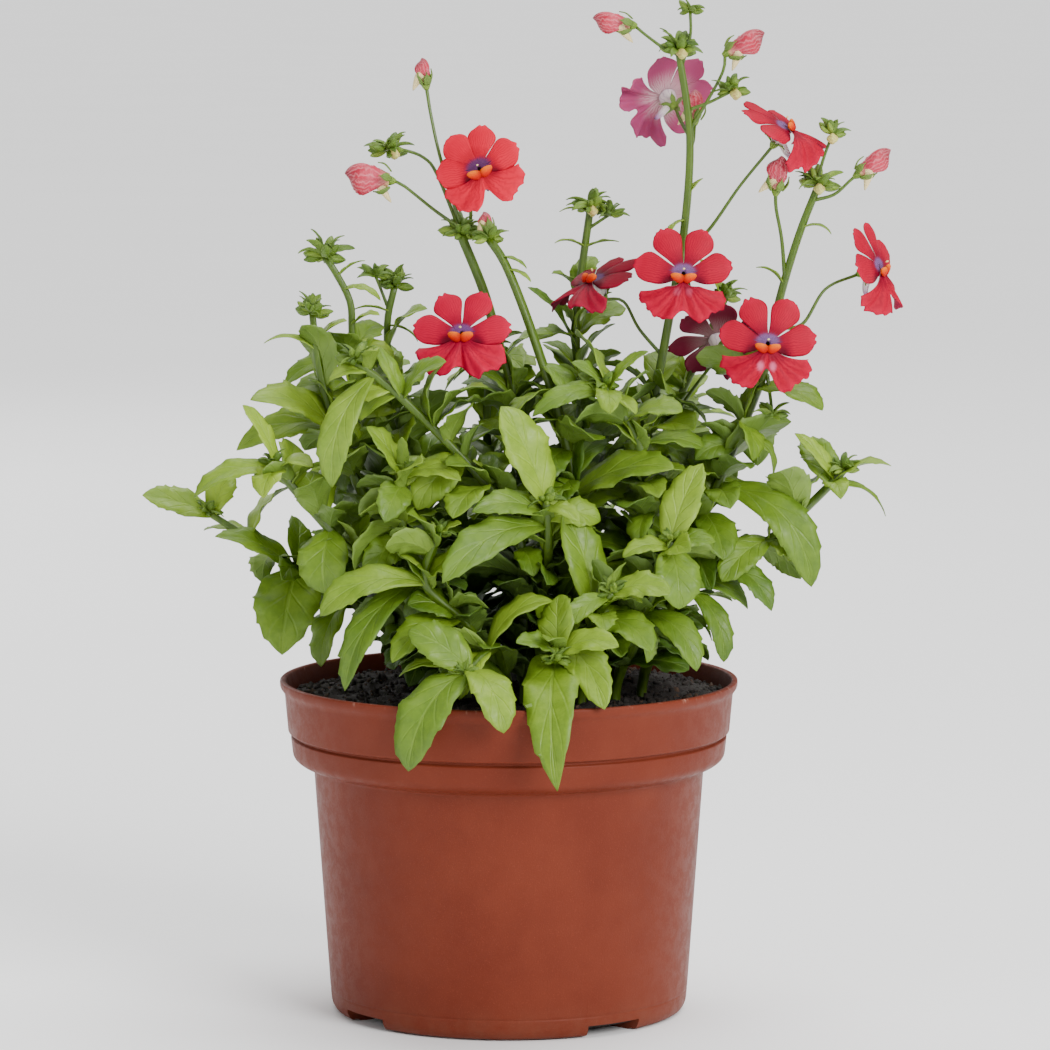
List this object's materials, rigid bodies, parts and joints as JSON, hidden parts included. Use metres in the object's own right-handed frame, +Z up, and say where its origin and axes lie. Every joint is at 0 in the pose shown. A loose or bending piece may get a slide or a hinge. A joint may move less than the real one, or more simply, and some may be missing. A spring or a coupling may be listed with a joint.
{
  "type": "potted nemesia",
  "caption": "Flowering nemesia in a round terracotta-coloured plastic nursery pot, with leafy stems, two-lipped red blooms and pink buds, standing on its flat base.",
  "frame": {"origin": "middle of the underside of the pot's floor, on the surface that the pot stands on", "axes": "+Z up the pot's axis; -Y towards the viewer of the flowering side; +X to that viewer's right"},
  "size_m": [0.1982, 0.1463, 0.2638],
  "materials": {
    "terracotta_plastic": "satin moulded plastic with a fine speckle",
    "potting_soil": "moist crumbly potting compost",
    "green_leaf": "satin leaf with a pale midrib, paler underside",
    "coral_petal": "velvety coral-red petals",
    "crimson_petal": "velvety crimson-pink petals",
    "red_petal": "velvety red petals",
    "dark_petal": "velvety dark red petals",
    "pale_petal": "pale pink petal backs with darker veins",
    "orange_palate": "orange downy palate",
    "pink_bud": "furled pink petals with pale veins"
  },
  "bodies": {
    "root": {"pot": "terracotta_plastic", "soil": "potting_soil", "stem_tall_right": "green_leaf", "stem_right": "green_leaf", "stem_middle_left": "green_leaf", "stem_arched": "green_leaf", "stem_far_left_back": "green_leaf", "stem_left_back": "green_leaf", "stem_left": "green_leaf", "stem_diagonal": "green_leaf", "stem_low_left": "green_leaf", "stem_far_left": "green_leaf", "stem_front_left": "green_leaf", "stem_rim": "green_leaf", "stem_rim_right": "green_leaf", "stem_right_front": "green_leaf", "stem_right_shoulder": "green_leaf", "stem_centre": "green_leaf", "stem_low_right": "green_leaf", "stem_centre_right": "green_leaf", "stem_middle_back": "green_leaf", "stem_behind": "green_leaf", "stem_upright": "green_leaf", "stem_back_1": "green_leaf", "stem_back_2": "green_leaf", "stem_back_3": "green_leaf", "stem_back_4": "green_leaf", "stem_back_5": "green_leaf", "bloom_1": "coral_petal", "bloom_2": "crimson_petal", "bloom_3": "red_petal", "bloom_4": "red_petal", "bloom_5": "red_petal", "bloom_6": "red_petal", "bloom_7": "dark_petal", "bloom_8": "pale_petal", "bloom_9": "dark_petal", "palate_1": "orange_palate", "palate_2": "orange_palate", "palate_3": "orange_palate", "palate_4": "orange_palate", "palate_5": "orange_palate", "palate_6": "orange_palate", "palate_7": "orange_palate", "palate_8": "orange_palate", "palate_9": "orange_palate", "bud_1": "pink_bud", "bud_2": "pink_bud", "bud_3": "pink_bud", "bud_4": "pink_bud", "bud_5": "pink_bud", "bud_6": "pink_bud", "bud_7": "pink_bud", "bud_8": "pink_bud"}
  },
  "joints": []
}
